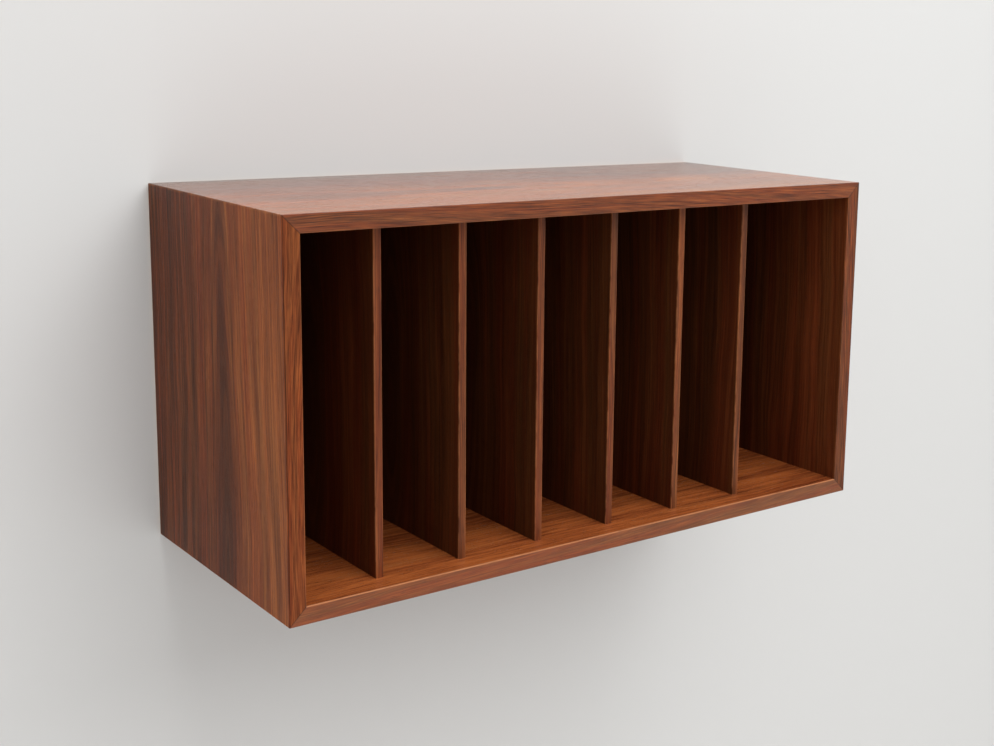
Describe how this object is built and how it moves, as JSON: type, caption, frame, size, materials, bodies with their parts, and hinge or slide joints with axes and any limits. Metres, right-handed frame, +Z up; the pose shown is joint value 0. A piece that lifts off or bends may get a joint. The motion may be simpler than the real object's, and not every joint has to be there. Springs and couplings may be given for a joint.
{
  "type": "record cabinet",
  "caption": "Wall-hung open-front record cabinet: mitred wood case with thin upright dividers that hooks over a bevelled wall rail.",
  "frame": {"origin": "middle of the wall rail's line of screw holes, on the face of the wall", "axes": "+X along the cabinet's width towards its wide bay, +Y into the wall, +Z up"},
  "size_m": [0.8, 0.345, 0.414],
  "materials": {
    "case_veneer": "satin lacquered dark walnut veneer",
    "lipping_wood": "satin lacquered solid walnut",
    "divider_veneer": "satin lacquered dark walnut veneer",
    "divider_lipping_wood": "satin lacquered solid walnut",
    "back_veneer": "matt lacquered walnut-faced plywood",
    "spline_plywood": "bare birch plywood",
    "rail_hardwood": "planed bare beech",
    "screw_steel": "zinc plated",
    "felt": "dense felt"
  },
  "bodies": {
    "wall_rail": {"wall_rail": "rail_hardwood"},
    "cabinet": {"top_panel": "case_veneer", "bottom_panel": "case_veneer", "left_side_panel": "case_veneer", "right_side_panel": "case_veneer", "top_lipping": "lipping_wood", "bottom_lipping": "lipping_wood", "left_lipping": "lipping_wood", "right_lipping": "lipping_wood", "divider_1": "divider_veneer", "divider_2": "divider_veneer", "divider_3": "divider_veneer", "divider_4": "divider_veneer", "divider_5": "divider_veneer", "divider_6": "divider_veneer", "divider_lipping_1": "divider_lipping_wood", "divider_lipping_2": "divider_lipping_wood", "divider_lipping_3": "divider_lipping_wood", "divider_lipping_4": "divider_lipping_wood", "divider_lipping_5": "divider_lipping_wood", "divider_lipping_6": "divider_lipping_wood", "back_panel": "back_veneer", "top_left_spline": "spline_plywood", "top_right_spline": "spline_plywood", "bottom_left_spline": "spline_plywood", "bottom_right_spline": "spline_plywood", "hanging_rail": "rail_hardwood", "spacer_rail": "rail_hardwood", "rail_screws": "screw_steel", "back_panel_screws": "screw_steel", "felt_pads": "felt"}
  },
  "joints": [
    {"name": "cabinet_lift_off", "type": "slide", "parent": "wall_rail", "child": "cabinet", "axis": [0, -0.7071, 0.7071], "range_m": [0, 0.06]}
  ]
}
